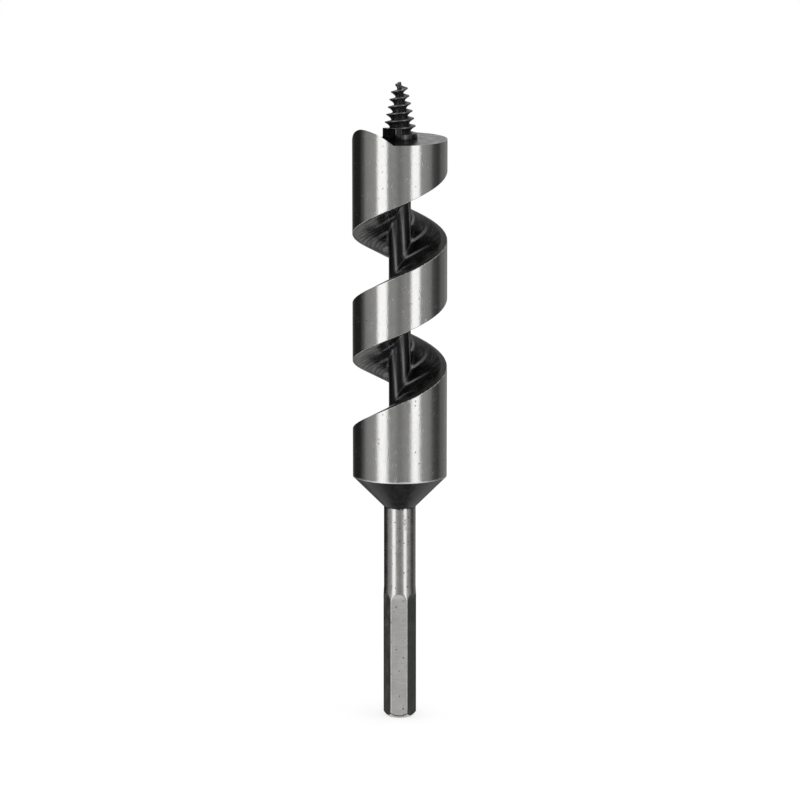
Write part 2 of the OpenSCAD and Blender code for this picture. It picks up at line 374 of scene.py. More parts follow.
cone_profile = [(0, NECK_TOP), (NECK_R, NECK_TOP), (BODY_R, BODY_START), (0, BODY_START)]
cone = steel_piece(turned(cone_profile, steps=192), "black_cone", black_oxide)
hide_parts("shoulder")


# Collar: the full round part of the steel body, where the single milled groove runs out. The
# outside is ground bright, and the groove keeps its black oxide apart from a strip along the
# rim and the rim's worn edge, which also carries a painted highlight.
PITCH = 32.2
CORE_R = 2.8
GROOVE_HEIGHT = 83.8989
GROOVE_RIM = 8.7
RIM_W = 1.6
RIM_DROP = 0.35
FLANK_LEAN = 0.45
FILLET_R = 1.3
FILLET_STEPS = 6
EDGE = 0.12
EDGE_DIP = 0.03
EDGE_ROUND = 0.3 * EDGE
REACH_R = 14.0
WEDGE_R = 28
ROWS_PER_TURN = 120
COLLAR_TOP = GROOVE_HEIGHT + PITCH * 0.2325
# Each fill has its two angles in degrees, and its height over the cone in pitches.
COLLAR_FILLS = ((199.6, 300.4, 0.38), (289.6, 430, 0.66))
RUNOUT_ANGLE = 70
SPARE = 2


def rough_part(bm):
    """A mesh in millimetres, before its last cut."""
    mesh = bpy.data.meshes.new("rough")
    bm.to_mesh(mesh)
    bm.free()
    part = bpy.data.objects.new("rough", mesh)
    bpy.context.scene.collection.objects.link(part)
    return part


def machined(blank, *cuts):
    """The blank after a row of cuts. Each cut is an operation and the solid that it works with."""
    blank = rough_part(blank)
    for operation, tool in cuts:
        tool = rough_part(tool)
        step = blank.modifiers.new("cut", "BOOLEAN")
        step.operation, step.solver, step.object = operation, "EXACT", tool
        cut_blank = blank.evaluated_get(bpy.context.evaluated_depsgraph_get())
        done = bpy.data.meshes.new_from_object(cut_blank)
        blank.modifiers.clear()
        old = blank.data
        blank.data = done
        bpy.data.meshes.remove(old)
        bpy.data.meshes.remove(tool.data)
    bm = bmesh.new()
    bm.from_mesh(blank.data)
    bpy.data.meshes.remove(blank.data)
    bmesh.ops.remove_doubles(bm, verts=bm.verts, dist=1e-4)
    bmesh.ops.dissolve_degenerate(bm, edges=bm.edges, dist=1e-4)
    return bm


def groove_side(reach):
    """One side of the groove from the core outward, as pairs of radius and axial half width."""
    low = GROOVE_RIM - RIM_DROP - FLANK_LEAN - FILLET_R
    side = []
    for i in range(FILLET_STEPS + 1):
        a = math.radians(90 / FILLET_STEPS * i)
        side.append((CORE_R + FILLET_R * (1 - math.cos(a)), low + FILLET_R * math.sin(a)))
    side += [(BODY_R - RIM_W, GROOVE_RIM - RIM_DROP), (BODY_R - EDGE, GROOVE_RIM - EDGE_DIP),
        (BODY_R - EDGE_ROUND, GROOVE_RIM + EDGE_ROUND), (BODY_R, GROOVE_RIM + EDGE)]
    if reach > BODY_R:
        side.append((reach, GROOVE_RIM + EDGE))
    return side


def groove_angle(z):
    """The direction of the groove's middle at a height."""
    return math.pi + FULL_TURN * (z - GROOVE_HEIGHT) / PITCH


def flight(low, high, reach=BODY_R):
    """The land and its core between two heights: the land's outline wound up along the pitch."""
    side = [(r, FULL_TURN * w / PITCH) for r, w in groove_side(reach)]
    inner, outer = side[0][1], side[-1][1]
    arc, core = 64, 18
    outline = side + [(reach, outer + (FULL_TURN - 2 * outer) * i / arc) for i in range(1, arc)]
    outline += [(r, -a) for r, a in reversed(side)]
    outline += [(CORE_R, inner * (2 * i / core - 1)) for i in range(1, core)]
    start = groove_angle(low)
    bm = bmesh.new()
    ring = [(r * math.cos(start + a), r * math.sin(start + a), low) for r, a in outline]
    ring = [bm.verts.new(point) for point in ring]
    edges = [bm.edges.new((v, ring[i - 1])) for i, v in enumerate(ring)]
    rows = math.ceil((high - low) / PITCH * ROWS_PER_TURN)
    bmesh.ops.spin(bm, geom=ring + edges, cent=(0, 0, 0), axis=(0, 0, 1),
        dvec=(0, 0, (high - low) / rows), angle=groove_angle(high) - start, steps=rows)
    bmesh.ops.holes_fill(bm, edges=[e for e in bm.edges if e.is_boundary], sides=0)
    bmesh.ops.recalc_face_normals(bm, faces=bm.faces)
    return bm


def drawn_out(corners, way):
    """The solid that a flat face with these corners leaves when it moves along a vector."""
    bm = bmesh.new()
    face = bm.faces.new([bm.verts.new(corner) for corner in corners])
    wall = bmesh.ops.extrude_face_region(bm, geom=[face, *face.edges], use_keep_orig=True)
    moved = [v for v in wall["geom"] if isinstance(v, bmesh.types.BMVert)]
    bmesh.ops.translate(bm, verts=moved, vec=way)
    bmesh.ops.recalc_face_normals(bm, faces=bm.faces)
    return bm


def wedge(a, b, low, high):
    """A wedge about the axis between two angles in degrees, less than half a turn apart."""
    turns = [math.radians(t) for t in (a, (a + b) / 2, b)]
    rim = [(WEDGE_R * math.cos(t), WEDGE_R * math.sin(t), low) for t in turns]
    return drawn_out([(0, 0, low)] + rim, (0, 0, high - low))


def groove_end(angle, turns):
    """The round end that the cutter leaves, which touches both flanks of the groove."""
    profile = [(0, CORE_R)]
    for r, w in groove_side(REACH_R):
        profile.append((w * math.cos(math.atan(PITCH / (FULL_TURN * r))), r))
    bm = turned(profile + [(0, REACH_R)])
    z = GROOVE_HEIGHT + PITCH * ((angle - 180) / 360 + turns)
    turn = Matrix.Rotation(math.radians(angle), 4, "Z") @ Matrix.Rotation(math.pi / 2, 4, "Y")
    bmesh.ops.transform(bm, verts=bm.verts, matrix=Matrix.Translation((0, 0, z)) @ turn)
    return bm


def round_bar(low, high):
    """The body's full round, which the outside is ground to."""
    return turned([(0, low), (BODY_R, low), (BODY_R, high), (0, high)], steps=192)


TOP = GROOVE_HEIGHT + 2 * PITCH + 3.2
FACE_HEIGHT = TOP - 2.7
FACE_SLOPE = math.radians(5.5)
CUTTER_SWING = 155.3
CORE_SWING = 30.7
CORE_FROM = 7.9
JUNCTION_R = 3.15
JUNCTION_W = 0.05
# The painted highlight lines in the groove: how many go round, their phase and finer lines, and
# where they fade.
PAINTED_LINES_PER_TURN = 8
PAINTED_LINE_PHASE = 1.3
FINE_LINES_PER_PAINTED_LINE = 4
RADIAL_GRAIN = 40
FINE_LINES_FADE = (3.1, 4.2)
PAINTED_LINES_FADE = (9, 4)
PAINTED_SHADE_FADE = (6.8, 4.2)
OUTSIDE_WALL = (11.96, 11.985)
WORN_AND_GLINT_EDGE = (11.86, 11.89)
RIM_STRIP = (10.46, 10.54)
BRIGHT_LOWER_EDGE = (BODY_START + 0.05, BODY_START - 0.05)
COARSE_GRIND = (84, 74)
BLACK_BEFORE_BLOCK = (7.5, 2.5)
BLACK_TOWARD_FRONT = (2, -3)
STREAK_LIGHT = (0.14, 0.14, 0.136, 1)
STREAK_DARK = (0.02, 0.02, 0.021, 1)
# Greys of the groove's painted highlight lines and painted shade, and of the rim strip.
PAINTED_FINE_LINE_GREY = (0.27, 0.27, 0.26, 1)
PAINTED_SHADE_BLACK = (0.012, 0.012, 0.014, 1)
STRIP_GREY = (0.125, 0.128, 0.119, 1)
FLANK_HIGHLIGHT_GREY = (0.27, 0.27, 0.28, 1)
CORE_HIGHLIGHT_GREY = (0.16, 0.16, 0.158, 1)
FACE_DARK = (0.055, 0.055, 0.055, 1)
FACE_LIGHT = (0.23, 0.23, 0.225, 1)
# Black of the clearance face beside the block: oxide and painted shade.
OXIDE_AND_SHADE_BLACK = (0.012, 0.012, 0.012, 1)
EDGE_WEAR_AND_GLINT_STEEL = (0.62, 0.61, 0.59, 1)
GROUND_DARK = (0.52, 0.517, 0.505, 1)
GROUND_LIGHT = (0.61, 0.606, 0.594, 1)
GRIT_GREY = (0.3, 0.295, 0.285, 1)
GROUND_PIT = (0.14, 0.135, 0.13, 1)
RUBBED_STEEL = (0.85, 0.845, 0.83, 1)

ground_steel, tree, shader, where = new_finish("ground_rim_and_black_groove")
radius, x, y, z = about_axis(tree, where)
skin = effect(tree, worn_skin, Place=where, Pit_Share=0.055)
coat = effect(tree, oxide_coat, Place=where, Pits=skin["Pits"], Rubs=skin["Rubs"])
speckle = cloud(tree, where, 2300, 4, 0.65)
grit = cloud(tree, stretched(tree, where, 1, 1, 0.6), 3400, 2, 0.6)
outside = crossed(tree, radius, *OUTSIDE_WALL)
# The rim's worn edge: partly wear, partly a painted highlight along it.
edge_wear_and_glint = maths(tree, "SUBTRACT", crossed(tree, radius, *WORN_AND_GLINT_EDGE), outside, clamp=True)
strip = crossed(tree, scaled(tree, speckle, 0.2 * MILLIMETRE, radius), *RIM_STRIP)

# The cutter's marks and the painted highlight lines are one pattern, turned about the axis with
# the radius on the flanks and with the height on the core. The painted lines stand for the lamps'
# reflections between core and flank, with painted shade between them and on the upper flank.
turn_share = maths(tree, "DIVIDE", maths(tree, "ARCTAN2", y, x), FULL_TURN)
phase = minus(tree, times(tree, z, 1 / (PITCH * MILLIMETRE)), turn_share)
phase = maths(tree, "FRACT", plus(tree, phase, 1 - GROOVE_HEIGHT / PITCH))
from_middle = minus(tree, phase, 0.5)
side = maths(tree, "SIGN", from_middle)
flank_swing = times(tree, times(tree, radius, CUTTER_SWING), side)
core_swing = scaled(tree, from_middle, CORE_SWING * PITCH * MILLIMETRE,
    (CORE_SWING * CORE_FROM - CUTTER_SWING * JUNCTION_R) * MILLIMETRE)
on_flank = crossed(tree, radius, JUNCTION_R - JUNCTION_W, JUNCTION_R + JUNCTION_W)
underside = times(tree, on_flank, ranged(tree, side, -1, 1))
upper_face = minus(tree, on_flank, underside)
around = place(tree, "ShaderNodeCombineXYZ", X=maths(tree, "DIVIDE", x, radius),
    Y=maths(tree, "DIVIDE", y, radius), Z=times(tree, radius, RADIAL_GRAIN)).outputs[0]
swung = place(tree, "ShaderNodeVectorRotate", rotation_type="Z_AXIS", Vector=around,
    Angle=between(tree, on_flank, core_swing, flank_swing)).outputs[0]
streaks = cloud(tree, swung, 15, 4, 0.65)
across, along, _ = place(tree, "ShaderNodeSeparateXYZ", Vector=swung).outputs
# The painted highlight lines: lighter lines where the lamps are reflected between core and flank.
highlight_turn = scaled(tree, maths(tree, "ARCTAN2", along, across), PAINTED_LINES_PER_TURN, PAINTED_LINE_PHASE)
painted_fine_lines = scaled(tree, streaks, 10, times(tree, highlight_turn, FINE_LINES_PER_PAINTED_LINE))
painted_fine_lines = ranged(tree, maths(tree, "SINE", painted_fine_lines), 0, 1)
painted_fine_lines = times(tree, painted_fine_lines, ranged(tree, speckle, 0.3, 0.6, 0.2, 1))
painted_fine_lines = times(tree, painted_fine_lines, crossed(tree, radius, *FINE_LINES_FADE))
painted_fine_lines = times(tree, painted_fine_lines, scaled(tree, side, 0.42, 0.56))
waves = plus(tree, maths(tree, "SINE", highlight_turn), scaled(tree, streaks, 0.4, -0.2))
# steps holds the wider painted highlight lines, and flank and core each get their share.
steps = times(tree, ranged(tree, waves, 0.62, 1.0), crossed(tree, radius, *PAINTED_LINES_FADE))
flank_highlights = times(tree, steps, on_flank)
core_highlights = minus(tree, steps, flank_highlights)
# Painted shade: black in the troughs between the painted lines, less on the underside, and black
# in streaks on the upper flank.
painted_trough_shade = times(tree, ranged(tree, waves, 0.35, -0.2), crossed(tree, radius, *PAINTED_SHADE_FADE))
painted_groove_shade = maths(tree, "MAXIMUM", times(tree, painted_trough_shade, scaled(tree, underside, -0.5, 0.8)),
    times(tree, upper_face, ranged(tree, streaks, 0.62, 0.42, 0.1, 0.6)))

groove_tone = blended(tree, ranged(tree, streaks, 0.5, 0.72, 0, 0.6), coat["Tone"], STREAK_LIGHT)
groove_tone = blended(tree, ranged(tree, streaks, 0.46, 0.3, 0, 0.75), groove_tone, STREAK_DARK)
# Painted highlight: the finer lines.
groove_tone = blended(tree, times(tree, painted_fine_lines, 0.7), groove_tone, PAINTED_FINE_LINE_GREY)
# Painted shade in the groove.
groove_tone = blended(tree, painted_groove_shade, groove_tone, PAINTED_SHADE_BLACK)
strip_share = times(tree, strip, ranged(tree, speckle, 0.3, 0.6, 0.45, 0.95))
groove_tone = blended(tree, strip_share, groove_tone, STRIP_GREY)
# Painted highlight: the wider lines on flank and core, fainter on the underside.
flank_highlight_share = times(tree, flank_highlights, scaled(tree, underside, -0.6, 0.9))
groove_tone = blended(tree, flank_highlight_share, groove_tone, FLANK_HIGHLIGHT_GREY)
groove_tone = blended(tree, times(tree, core_highlights, 0.6), groove_tone, CORE_HIGHLIGHT_GREY)

face_line = scaled(tree, y, math.tan(FACE_SLOPE), (FACE_HEIGHT - 0.06) * MILLIMETRE)
face_top = maths(tree, "GREATER_THAN", z, face_line)
face_mottle = cloud(tree, stretched(tree, where, 1, 0.4, 1), 1500, 5, 0.7)
face_tone = blended(tree, ranged(tree, face_mottle, 0.3, 0.7), FACE_DARK, FACE_LIGHT)
# The clearance face is black left of the block and toward the front: partly oxide left there,
# partly painted shade beside the block.
speckled_x = scaled(tree, speckle, 3 * MILLIMETRE, x)
oxide_and_painted_shade = times(tree, crossed(tree, speckled_x, *BLACK_BEFORE_BLOCK),
    crossed(tree, y, *BLACK_TOWARD_FRONT))
face_tone = blended(tree, oxide_and_painted_shade, face_tone, OXIDE_AND_SHADE_BLACK)
dark_tone = blended(tree, face_top, groove_tone, face_tone)
# Light steel on the worn edge, which is also a painted highlight.
edge_wear_and_glint_share = times(tree, edge_wear_and_glint, ranged(tree, speckle, 0.46, 0.56, 0.1, 0.9))
dark_tone = blended(tree, edge_wear_and_glint_share, dark_tone, EDGE_WEAR_AND_GLINT_STEEL)

speckled_z = scaled(tree, speckle, -0.7 * MILLIMETRE, z)
lower_edge = crossed(tree, speckled_z, *BRIGHT_LOWER_EDGE)
coarse = crossed(tree, z, *COARSE_GRIND)
gritty = times(tree, ranged(tree, grit, 0.56, 0.7), 0.25)
polished = maths(tree, "MAXIMUM", skin["Rubs"], lower_edge)
bright_tone = blended(tree, skin["Mottle"], GROUND_DARK, GROUND_LIGHT)
bright_tone = blended(tree, gritty, bright_tone, GRIT_GREY)
bright_tone = blended(tree, times(tree, skin["Pits"], 0.5), bright_tone, GROUND_PIT)
bright_tone = blended(tree, polished, bright_tone, RUBBED_STEEL)
linked(tree, shader.inputs["Base Color"], blended(tree, outside, dark_tone, bright_tone))
# The painted highlight lines and the worn edge are less metallic, so that they show lighter.
painted_lines_and_worn_edge = maths(tree, "MAXIMUM", steps, edge_wear_and_glint)
metal = scaled(tree, painted_lines_and_worn_edge, -0.55, ranged(tree, outside, 0, 1, 0.88, 1))
linked(tree, shader.inputs["Metallic"], metal)
bright_rough = scaled(tree, coarse, 0.05, ranged(tree, skin["Mottle"], 0.3, 0.7, 0.085, 0.14))
bright_rough = scaled(tree, maths(tree, "MAXIMUM", skin["Pits"], polished), 0.3, bright_rough)
black_rough = scaled(tree, face_top, 0.12, coat["Roughness"])
linked(tree, shader.inputs["Roughness"], between(tree, outside, black_rough, bright_rough))
black_relief = scaled(tree, streaks, 6, times(tree, skin["Grain"], 1.5))
bright_relief = times(tree, plus(tree, grit, speckle), scaled(tree, coarse, 4, 9))
bright_relief = scaled(tree, skin["Pits"], -5, plus(tree, bright_relief, skin["Grain"]))
embossed(tree, shader, between(tree, outside, black_relief, bright_relief), depth=1.1e-6)

collar = machined(flight(BODY_START - SPARE, COLLAR_TOP + SPARE, REACH_R),
    *[("UNION", wedge(a, b, BODY_START - 1, BODY_START + PITCH * turns))
        for a, b, turns in COLLAR_FILLS],
    ("DIFFERENCE", groove_end(RUNOUT_ANGLE, 0)),
    ("INTERSECT", round_bar(BODY_START, COLLAR_TOP)))
collar = steel_piece(collar, "collar_with_runout", ground_steel, round_r=BODY_R)
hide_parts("collar")


# Lower and upper twist: the plain steel flight with its core, together a turn and a quarter. The
# groove is milled in one pass with the collar's, and the outside is ground with it.
MIDDLE = GROOVE_HEIGHT + PITCH * 0.88
HEAD_START = GROOVE_HEIGHT + PITCH * 1.5

lower_twist = steel_piece(flight(COLLAR_TOP, MIDDLE), "lower_flight", ground_steel,
    round_r=BODY_R)
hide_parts("lower_twist")
upper_twist = steel_piece(flight(MIDDLE, HEAD_START), "upper_flight", ground_steel,
    round_r=BODY_R)
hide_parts("upper_twist")


# Cutting head: the last part of the flight, in the same steel and filled in behind the throat.
# Its top is ground off to a sloping clearance face that ends at the cutting lip.
THROAT_ANGLE = 129
THROAT_FILL = 162
THROAT_FILL_DROP = GROOVE_RIM * 0.9
SLOPE_BLOCK = (24, 24, 12)
THROAT_Z = GROOVE_HEIGHT + PITCH * (2 + (THROAT_ANGLE - 180) / 360)


def above_slope(height, slope, direction=None):
    """A block over a plane that crosses the axis at that height.

    The plane rises toward +Y, or falls in a direction."""
    bm = bmesh.new()
    bmesh.ops.create_cube(bm, size=2)
    bmesh.ops.scale(bm, verts=bm.verts, vec=SLOPE_BLOCK)
    bmesh.ops.translate(bm, verts=bm.verts, vec=(0, 0, SLOPE_BLOCK[2]))
    if direction is None:
        tilt = Matrix.Rotation(slope, 4, "X")
    else:
        tilt = Matrix.Rotation(direction, 4, "Z") @ Matrix.Rotation(slope, 4, "Y")
    bmesh.ops.transform(bm, verts=bm.verts, matrix=Matrix.Translation((0, 0, height)) @ tilt)
    return bm


head_fill = wedge(THROAT_ANGLE, THROAT_ANGLE + THROAT_FILL, THROAT_Z - THROAT_FILL_DROP, TOP + 1)
head = machined(flight(HEAD_START - SPARE, TOP + SPARE, REACH_R),
    ("UNION", head_fill),
    ("INTERSECT", round_bar(HEAD_START, TOP)),
    ("DIFFERENCE", above_slope(FACE_HEIGHT, FACE_SLOPE)),
    ("DIFFERENCE", groove_end(THROAT_ANGLE, 2)))
head = steel_piece(head, "cutting_head_body", ground_steel, round_r=BODY_R)
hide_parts("cutting_head")


# Scoring spur: the part of the head's steel wall that stands over the clearance face. Its inside
# is cut to a rounded bevel, and its trailing corner is rounded too.
SPUR_SLOPE = 41.7
SPUR_DIRECTION = math.radians(26.9)
SPUR_HEIGHT = TOP + 0.84 - BODY_R * math.tan(math.radians(SPUR_SLOPE))
SPUR_BEVELS = ((SPUR_HEIGHT, SPUR_SLOPE), (TOP - 7.04, 31), (TOP - 4.336, 20), (TOP - 2.13, 10))
SPUR_END = 270
SPUR_BACK = math.radians(195)
SPUR_ROUND_R = 11.5
SPUR_ROUND_START = 5.4
SPUR_ROUND_STEPS = 24
SPUR_BLANK_W = 30
SPUR_BLANK_LOW = 130


def prism(outline, start, end):
    """An outline of pairs across X and Z, drawn out along Y from start to end."""
    return drawn_out([(x, start, z) for x, z in outline], (0, end - start, 0))


corner = []
for i in range(SPUR_ROUND_STEPS + 1):
    a = math.radians(90 - 90 / SPUR_ROUND_STEPS * i)
    corner.append((SPUR_ROUND_START - SPUR_ROUND_R * math.sin(a),
        TOP - SPUR_ROUND_R * (1 - math.cos(a))))
corner = [(corner[0][0], SPUR_BLANK_LOW)] + corner
corner += [(SPUR_BLANK_W, TOP), (SPUR_BLANK_W, SPUR_BLANK_LOW)]
spur_outline = prism([(-y, z) for y, z in corner], 0, SPUR_BLANK_W)
bmesh.ops.rotate(spur_outline, verts=spur_outline.verts, cent=(0, 0, 0),
    matrix=Matrix.Rotation(SPUR_BACK - math.pi / 2, 3, "Z"))
spur = machined(wedge(THROAT_ANGLE, SPUR_END, HEAD_START, TOP + 1),
    ("INTERSECT", round_bar(HEAD_START, TOP)),
    ("INTERSECT", above_slope(FACE_HEIGHT, FACE_SLOPE)),
    ("INTERSECT", spur_outline),
    *[("DIFFERENCE", above_slope(height, math.radians(slope), SPUR_DIRECTION))
        for height, slope in SPUR_BEVELS],
    ("DIFFERENCE", groove_end(THROAT_ANGLE, 2)))
spur = steel_piece(spur, "scoring_spur", ground_steel, round_r=BODY_R)
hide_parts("spur")


# Block under the feed screw: the stub of steel that is left when the head is milled down around
# it, with a flat toward the spur and a lower step on the other side. It stays black.
BLOCK_R = 4.45
BLOCK_FOOT = 145
BLOCK_FLAT = 3.16
BLOCK_FLAT_DIRECTION = math.radians(211)
BLOCK_STEP = 1.26
BLOCK_STEP_DIRECTION = math.radians(-10)
BLOCK_ROUNDING = 0.05
SHARP_ANGLE = 0.6
STEP_HEIGHT = TOP - 1.6
CUT_REACH = 20
CUT_FOOT = 140
MILLED_GREY = (0.2, 0.2, 0.198, 1)
STROKE_BLACK = (0.03, 0.03, 0.03, 1)


def box_toward(direction, near, far, low, high):
    """A block that starts at a distance from the axis and faces a direction."""
    bm = prism([(near, low), (far, low), (far, high), (near, high)], -CUT_REACH, CUT_REACH)
    bmesh.ops.rotate(bm, verts=bm.verts, cent=(0, 0, 0), matrix=Matrix.Rotation(direction, 3, "Z"))
    return bm


milled_black, tree, shader, where = new_finish("milled_black")
skin = effect(tree, worn_skin, Place=where, Pit_Share=0.08)
coat = effect(tree, oxide_coat, Place=where, Pits=skin["Pits"], Rubs=skin["Rubs"])
leaning = place(tree, "ShaderNodeMapping", Vector=where, Rotation=(0, 0.35, 0),
    Scale=(1, 1, 0.08)).outputs[0]
strokes = cloud(tree, leaning, 3200, 2, 0.6)
tone = blended(tree, 0.55, coat["Tone"], MILLED_GREY)
tone = blended(tree, ranged(tree, strokes, 0.42, 0.62, 0.6, 0), tone, STROKE_BLACK)
linked(tree, shader.inputs["Base Color"], tone)
linked(tree, shader.inputs["Roughness"], coat["Roughness"])
embossed(tree, shader, scaled(tree, strokes, 2, skin["Grain"]), depth=2.5e-6)

block = machined(turned([(0, BLOCK_FOOT), (BLOCK_R, BLOCK_FOOT), (BLOCK_R, TOP), (0, TOP)]),
    ("INTERSECT", above_slope(FACE_HEIGHT, FACE_SLOPE)),
    ("DIFFERENCE", box_toward(BLOCK_STEP_DIRECTION, BLOCK_STEP, CUT_REACH, STEP_HEIGHT, TOP + 1)),
    ("DIFFERENCE", box_toward(BLOCK_FLAT_DIRECTION, BLOCK_FLAT, CUT_REACH, CUT_FOOT, TOP + 1)))
sharp = [e for e in block.edges if e.is_manifold and e.calc_face_angle(0) > SHARP_ANGLE]
bmesh.ops.bevel(block, geom=sharp, offset=BLOCK_ROUNDING, affect="EDGES", segments=2,
    profile=0.5, material=-1, clamp_overlap=True)
block = steel_piece(block, "screw_block_body", milled_black)
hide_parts("screw_block")


# Feed screw: a tapered wood-screw point, cut in one piece with the steel bit and left black like
# the groove. Its flanks are hollow, and its crest is rubbed by use and carries a painted
# highlight.
TIP = TOP + 11.5
THREAD_PITCH = 1.87
THREAD_HEIGHT = TOP + 0.55
CREST_R = 4.1
ROOT_R = 2.6
TIP_R = 0.3
CREST_TAPER = 0.21
POINT_TAPER = 1.2
LOWER_FLANK = 1.2
UPPER_FLANK = 0.5
HOLLOW = 1.6
CREST_LAND = 0.12
CREST_RUB_AND_GLINT = (0.45, 0.1)
THREAD_STEPS = 48
THREAD_SHARES = (0, 0.055, 0.07, 0.1, 0.15, 0.21, 0.28, 0.34, 0.45, 0.55, 0.65, 0.73, 0.8, 0.86,
    0.91, 0.935, 1)
SPARE_TURNS = 3
DRAWN_GREY = (0.15, 0.15, 0.148, 1)
RUBBED_AND_GLINT_GREY = (0.2, 0.2, 0.197, 1)


def crest_at(z):
    """The thread's outer radius at a height: a slow taper, and a steep one at the point."""
    return min(CREST_R - CREST_TAPER * (z - TOP), TIP_R + POINT_TAPER * (TIP - z))


def thread_r(turn, z):
    """The thread's radius at a height and a share of a turn from +X. Both flanks are hollow."""
    over = (z - THREAD_HEIGHT - turn * THREAD_PITCH) % THREAD_PITCH
    under = THREAD_PITCH - over
    root = max(TIP_R, ROOT_R - (ROOT_R - TIP_R) / (TIP - TOP) * (z - TOP))
    upper_share = min(1, max(0, 1 - (over - CREST_LAND) / UPPER_FLANK)) ** HOLLOW
    lower_share = min(1, max(0, 1 - (under - CREST_LAND) / LOWER_FLANK)) ** HOLLOW
    upper = (crest_at(z - over) - root) * upper_share
    lower = (crest_at(z + under) - root) * lower_share
    return root + max(0, upper, lower)


rubbed_and_glinting_black, tree, shader, where = new_finish("rubbed_and_glinting_black_thread")
shader.inputs["Metallic"].default_value = 0.85
radius, _, _, z = about_axis(tree, where)
skin = effect(tree, worn_skin, Place=where, Pit_Share=0.08)
coat = effect(tree, oxide_coat, Place=where, Pits=skin["Pits"], Rubs=skin["Rubs"])
crest = maths(tree, "MINIMUM",
    scaled(tree, z, -CREST_TAPER, (CREST_R + CREST_TAPER * TOP) * MILLIMETRE),
    scaled(tree, z, -POINT_TAPER, (TIP_R + POINT_TAPER * TIP) * MILLIMETRE))
# The crest is lighter: partly rubbed by use, partly a painted highlight.
rubbed_and_glinting_crest = crossed(tree, minus(tree, crest, radius), *CREST_RUB_AND_GLINT)
rubbed_and_glinting_crest = times(tree, rubbed_and_glinting_crest, ranged(tree, cloud(tree, where, 2600, 3), 0.3, 0.6, 0.5, 1))
drawn = cloud(tree, stretched(tree, where, 1, 1, 0.15), 1500, 3, 0.6)
drawn = ranged(tree, drawn, 0.42, 0.6, 0.1, 0.75)
tone = blended(tree, drawn, coat["Tone"], DRAWN_GREY)
# Rubbed crest with a painted highlight.
tone = blended(tree, rubbed_and_glinting_crest, tone, RUBBED_AND_GLINT_GREY)
linked(tree, shader.inputs["Base Color"], tone)
linked(tree, shader.inputs["Roughness"], scaled(tree, rubbed_and_glinting_crest, 0.1, coat["Roughness"]))
embossed(tree, shader, scaled(tree, skin["Pits"], -3, skin["Grain"]), depth=3e-6)

thread = bmesh.new()
turns = math.ceil((TIP - STEP_HEIGHT) / THREAD_PITCH) + SPARE_TURNS
line = [thread.verts.new((1, 0, THREAD_PITCH * share)) for share in THREAD_SHARES]
edges = [thread.edges.new(pair) for pair in zip(line, line[1:])]
bmesh.ops.spin(thread, geom=line + edges, cent=(0, 0, 0), axis=(0, 0, 1),
    dvec=(0, 0, THREAD_PITCH / THREAD_STEPS), angle=FULL_TURN * turns, steps=THREAD_STEPS * turns)
bmesh.ops.remove_doubles(thread, verts=thread.verts, dist=5e-3)
bmesh.ops.translate(thread, verts=thread.verts,
    vec=(0, 0, THREAD_HEIGHT - SPARE_TURNS * THREAD_PITCH))
for v in thread.verts:
    turn = math.atan2(v.co.y, v.co.x) / FULL_TURN
    r = thread_r(turn, v.co.z)
    v.co.x, v.co.y = r * math.cos(turn * FULL_TURN), r * math.sin(turn * FULL_TURN)
for cut_z, way in ((STEP_HEIGHT, -1), (TIP, 1)):
    bmesh.ops.bisect_plane(thread, geom=thread.verts[:] + thread.edges[:] + thread.faces[:],
        dist=1e-5, plane_co=(0, 0, cut_z), plane_no=(0, 0, way), clear_outer=True)
bmesh.ops.holes_fill(thread, edges=[e for e in thread.edges if e.is_boundary], sides=0)
bmesh.ops.recalc_face_normals(thread, faces=thread.faces)
screw = machined(thread,
    ("DIFFERENCE", box_toward(BLOCK_STEP_DIRECTION, -CUT_REACH, BLOCK_STEP, CUT_FOOT, TOP)))
screw = steel_piece(screw, "feed_screw_thread", rubbed_and_glinting_black, crease=40)
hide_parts("feed_screw")


# Studio: a pale floor, and a surround that the camera sees as white. What the steel mirrors is not
# that white but a room with soft boxes left and right of the camera and dark parts beside them.
# The camera stands a little higher than the bit's tip and looks down at its middle.
FLOOR_HALF = 40
PAPER = (0.95, 0.95, 0.95, 1)
WHITE = (1, 1, 1, 1)
FLOOR_GLOW = 0.6
CEILING_FADE = (0.55, 0.85)
GROUND_FADE = (-0.45, -0.75)
BELOW_FADE = (-0.86, -0.96)
# A direction in degrees, from the camera's side toward +X, and its brightness in a mirror.
ROOM_LIGHT = [(-180, 1.0), (-173, 0.3), (-164, 0.1), (-152, 0.06), (-142, 0.024), (-112, 0.022),
    (-98, 0.13), (-90, 0.30), (-70, 0.38), (-58, 0.46), (-53.5, 1.65), (-32, 1.65), (-29, 0.38),
    (-14, 0.39), (0, 0.245), (14, 0.385), (25.5, 0.37), (30, 1.65), (48, 1.6), (51, 0.46),
    (66, 0.37), (80, 0.275), (88, 0.11), (96, 0.08), (108, 0.055), (120, 0.165), (134, 0.2),
    (150, 0.29), (166, 0.22), (174, 0.3), (180, 1.0)]
CEILING_GREY = (0.33, 0.33, 0.33, 1)
GROUND_GREY = (0.7, 0.7, 0.7, 1)
BELOW_GREY = (0.12, 0.12, 0.12, 1)
FILL_LIGHT = (1.05, 1.05, 1.05, 1)
LAMP_PLACE = Vector((0.1, -0.1, 0.8))
LAMP_AIM = Vector((0, 0, 0.05))
CAMERA_PLACE = (0.00005, -0.66136, 0.1827)
CAMERA_PITCH = math.radians(90 - 8.613)
CAMERA_LENS = 118.2
SENSOR_W = 36

